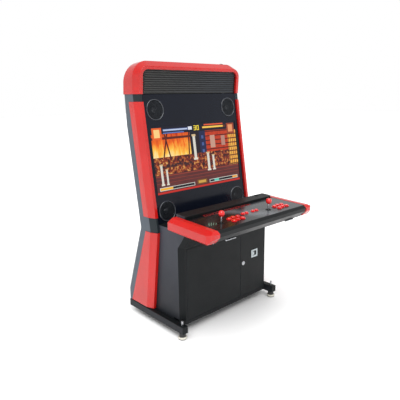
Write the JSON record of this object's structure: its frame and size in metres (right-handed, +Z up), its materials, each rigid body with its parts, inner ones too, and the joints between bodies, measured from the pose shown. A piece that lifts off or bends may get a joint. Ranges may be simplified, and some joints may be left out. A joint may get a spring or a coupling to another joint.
{
  "type": "arcade cabinet",
  "caption": "Sit-down arcade cabinet with a leaning widescreen face, red trims and hood, a two-player stick and button panel, a doored base and a skid stand.",
  "frame": {"origin": "on the floor under the middle of the bounding box", "axes": "+Z up, +Y to the back of the cabinet, +X to the right as seen from the front"},
  "size_m": [0.88, 0.7899, 1.565],
  "materials": {
    "red_trim": "glossy red moulded trim",
    "frame_grey": "dark grey laminate",
    "bezel_black": "gloss black acrylic",
    "black_steel": "black powder coat",
    "grille_grey": "ribbed dark grey",
    "panel_black": "satin black with printed overlay",
    "control_red": "glossy red",
    "bright_steel": "bright zinc",
    "foot_plastic": "pale foot pad",
    "screen_glass": "lit display behind glass",
    "monitor_case": "fine textured black",
    "speaker_mesh": "black perforated steel",
    "speaker_metal": "plated basket",
    "lamp_white": "diffuse white tube",
    "board_green": "circuit board",
    "zinc_sheet": "plain zinc-coated sheet",
    "coin_plate_grey": "pale grey moulding",
    "switch_black": "black nylon"
  },
  "bodies": {
    "cabinet": {"base_shell": "black_steel", "bezel_panel": "bezel_black", "coin_box": "zinc_sheet", "cross_members": "black_steel", "game_board": "board_green", "hood_trim": "red_trim", "lcd_monitor": "monitor_case", "lcd_screen": "screen_glass", "left_armrest": "red_trim", "left_lower_trim": "red_trim", "left_side_frame": "frame_grey", "left_skid_rail": "black_steel", "left_upper_trim": "red_trim", "levelling_pads": "foot_plastic", "levelling_studs": "bright_steel", "mains_inlet": "switch_black", "marquee_grille": "grille_grey", "marquee_lamp": "lamp_white", "panel_hinges": "bright_steel", "panel_tray": "black_steel", "power_supply": "zinc_sheet", "rear_access_panel": "black_steel", "rear_cover": "black_steel", "right_armrest": "red_trim", "right_lower_trim": "red_trim", "right_side_frame": "frame_grey", "right_skid_rail": "black_steel", "right_upper_trim": "red_trim", "shelf_box": "black_steel", "speaker_drivers": "speaker_metal", "speaker_grilles": "speaker_mesh"},
    "panel_lid": {"panel_lid": "panel_black", "button_collars": "control_red", "stick_bases": "switch_black"},
    "main_door": {"main_door": "black_steel"},
    "coin_door": {"coin_door": "black_steel", "coin_entry": "coin_plate_grey"},
    "coin_lock": {"coin_lock": "bright_steel"},
    "p1_stick_gimbal": {"p1_stick_gimbal": "switch_black"},
    "p1_stick": {"p1_stick_shaft": "bright_steel", "p1_stick_ball": "control_red"},
    "p1_button_1": {"p1_button_1": "control_red"},
    "p1_button_2": {"p1_button_2": "control_red"},
    "p1_button_3": {"p1_button_3": "control_red"},
    "p1_button_4": {"p1_button_4": "control_red"},
    "p1_button_5": {"p1_button_5": "control_red"},
    "p1_button_6": {"p1_button_6": "control_red"},
    "p1_start_button": {"p1_start_button": "control_red"},
    "p1_coin_button": {"p1_coin_button": "control_red"},
    "p2_stick_gimbal": {"p2_stick_gimbal": "switch_black"},
    "p2_stick": {"p2_stick_shaft": "bright_steel", "p2_stick_ball": "control_red"},
    "p2_button_1": {"p2_button_1": "control_red"},
    "p2_button_2": {"p2_button_2": "control_red"},
    "p2_button_3": {"p2_button_3": "control_red"},
    "p2_button_4": {"p2_button_4": "control_red"},
    "p2_button_5": {"p2_button_5": "control_red"},
    "p2_button_6": {"p2_button_6": "control_red"},
    "p2_start_button": {"p2_start_button": "control_red"},
    "p2_coin_button": {"p2_coin_button": "control_red"}
  },
  "joints": [
    {"name": "panel_lid_hinge", "type": "hinge", "parent": "cabinet", "child": "panel_lid", "pos_m": [0, -0.35615, 0.6279], "axis": [1, 0, 0], "range_deg": [0, 80]},
    {"name": "main_door_hinge", "type": "hinge", "parent": "cabinet", "child": "main_door", "pos_m": [-0.334, -0.084, 0.3], "axis": [0, 0, -1], "range_deg": [0, 105]},
    {"name": "coin_door_hinge", "type": "hinge", "parent": "cabinet", "child": "coin_door", "pos_m": [0.334, -0.084, 0.3], "axis": [0, 0, 1], "range_deg": [0, 105]},
    {"name": "coin_lock_turn", "type": "hinge", "parent": "coin_door", "child": "coin_lock", "pos_m": [0.14, -0.09, 0.308], "axis": [0, -1, 0], "range_deg": [0, 90]},
    {"name": "p1_stick_fore_aft", "type": "hinge", "parent": "panel_lid", "child": "p1_stick_gimbal", "pos_m": [-0.268, -0.29633, 0.69007], "axis": [1, 0, 0], "range_deg": [-8, 8], "stiffness_Nm_per_rad": 1.2},
    {"name": "p1_stick_side", "type": "hinge", "parent": "p1_stick_gimbal", "child": "p1_stick", "pos_m": [-0.268, -0.29633, 0.69007], "axis": [0, 0.9994, 0.0356], "range_deg": [-8, 8], "stiffness_Nm_per_rad": 1.2},
    {"name": "p1_button_1_press", "type": "slide", "parent": "panel_lid", "child": "p1_button_1", "axis": [0, 0.0356, -0.9994], "range_m": [0, 0.0025], "stiffness_N_per_m": 150, "springref_m": -0.002},
    {"name": "p1_button_2_press", "type": "slide", "parent": "panel_lid", "child": "p1_button_2", "axis": [0, 0.0356, -0.9994], "range_m": [0, 0.0025], "stiffness_N_per_m": 150, "springref_m": -0.002},
    {"name": "p1_button_3_press", "type": "slide", "parent": "panel_lid", "child": "p1_button_3", "axis": [0, 0.0356, -0.9994], "range_m": [0, 0.0025], "stiffness_N_per_m": 150, "springref_m": -0.002},
    {"name": "p1_button_4_press", "type": "slide", "parent": "panel_lid", "child": "p1_button_4", "axis": [0, 0.0356, -0.9994], "range_m": [0, 0.0025], "stiffness_N_per_m": 150, "springref_m": -0.002},
    {"name": "p1_button_5_press", "type": "slide", "parent": "panel_lid", "child": "p1_button_5", "axis": [0, 0.0356, -0.9994], "range_m": [0, 0.0025], "stiffness_N_per_m": 150, "springref_m": -0.002},
    {"name": "p1_button_6_press", "type": "slide", "parent": "panel_lid", "child": "p1_button_6", "axis": [0, 0.0356, -0.9994], "range_m": [0, 0.0025], "stiffness_N_per_m": 150, "springref_m": -0.002},
    {"name": "p1_start_button_press", "type": "slide", "parent": "panel_lid", "child": "p1_start_button", "axis": [0, 0.0356, -0.9994], "range_m": [0, 0.0025], "stiffness_N_per_m": 150, "springref_m": -0.002},
    {"name": "p1_coin_button_press", "type": "slide", "parent": "panel_lid", "child": "p1_coin_button", "axis": [0, 0.0356, -0.9994], "range_m": [0, 0.0025], "stiffness_N_per_m": 150, "springref_m": -0.002},
    {"name": "p2_stick_fore_aft", "type": "hinge", "parent": "panel_lid", "child": "p2_stick_gimbal", "pos_m": [0.126, -0.29633, 0.69007], "axis": [1, 0, 0], "range_deg": [-8, 8], "stiffness_Nm_per_rad": 1.2},
    {"name": "p2_stick_side", "type": "hinge", "parent": "p2_stick_gimbal", "child": "p2_stick", "pos_m": [0.126, -0.29633, 0.69007], "axis": [0, 0.9994, 0.0356], "range_deg": [-8, 8], "stiffness_Nm_per_rad": 1.2},
    {"name": "p2_button_1_press", "type": "slide", "parent": "panel_lid", "child": "p2_button_1", "axis": [0, 0.0356, -0.9994], "range_m": [0, 0.0025], "stiffness_N_per_m": 150, "springref_m": -0.002},
    {"name": "p2_button_2_press", "type": "slide", "parent": "panel_lid", "child": "p2_button_2", "axis": [0, 0.0356, -0.9994], "range_m": [0, 0.0025], "stiffness_N_per_m": 150, "springref_m": -0.002},
    {"name": "p2_button_3_press", "type": "slide", "parent": "panel_lid", "child": "p2_button_3", "axis": [0, 0.0356, -0.9994], "range_m": [0, 0.0025], "stiffness_N_per_m": 150, "springref_m": -0.002},
    {"name": "p2_button_4_press", "type": "slide", "parent": "panel_lid", "child": "p2_button_4", "axis": [0, 0.0356, -0.9994], "range_m": [0, 0.0025], "stiffness_N_per_m": 150, "springref_m": -0.002},
    {"name": "p2_button_5_press", "type": "slide", "parent": "panel_lid", "child": "p2_button_5", "axis": [0, 0.0356, -0.9994], "range_m": [0, 0.0025], "stiffness_N_per_m": 150, "springref_m": -0.002},
    {"name": "p2_button_6_press", "type": "slide", "parent": "panel_lid", "child": "p2_button_6", "axis": [0, 0.0356, -0.9994], "range_m": [0, 0.0025], "stiffness_N_per_m": 150, "springref_m": -0.002},
    {"name": "p2_start_button_press", "type": "slide", "parent": "panel_lid", "child": "p2_start_button", "axis": [0, 0.0356, -0.9994], "range_m": [0, 0.0025], "stiffness_N_per_m": 150, "springref_m": -0.002},
    {"name": "p2_coin_button_press", "type": "slide", "parent": "panel_lid", "child": "p2_coin_button", "axis": [0, 0.0356, -0.9994], "range_m": [0, 0.0025], "stiffness_N_per_m": 150, "springref_m": -0.002}
  ]
}
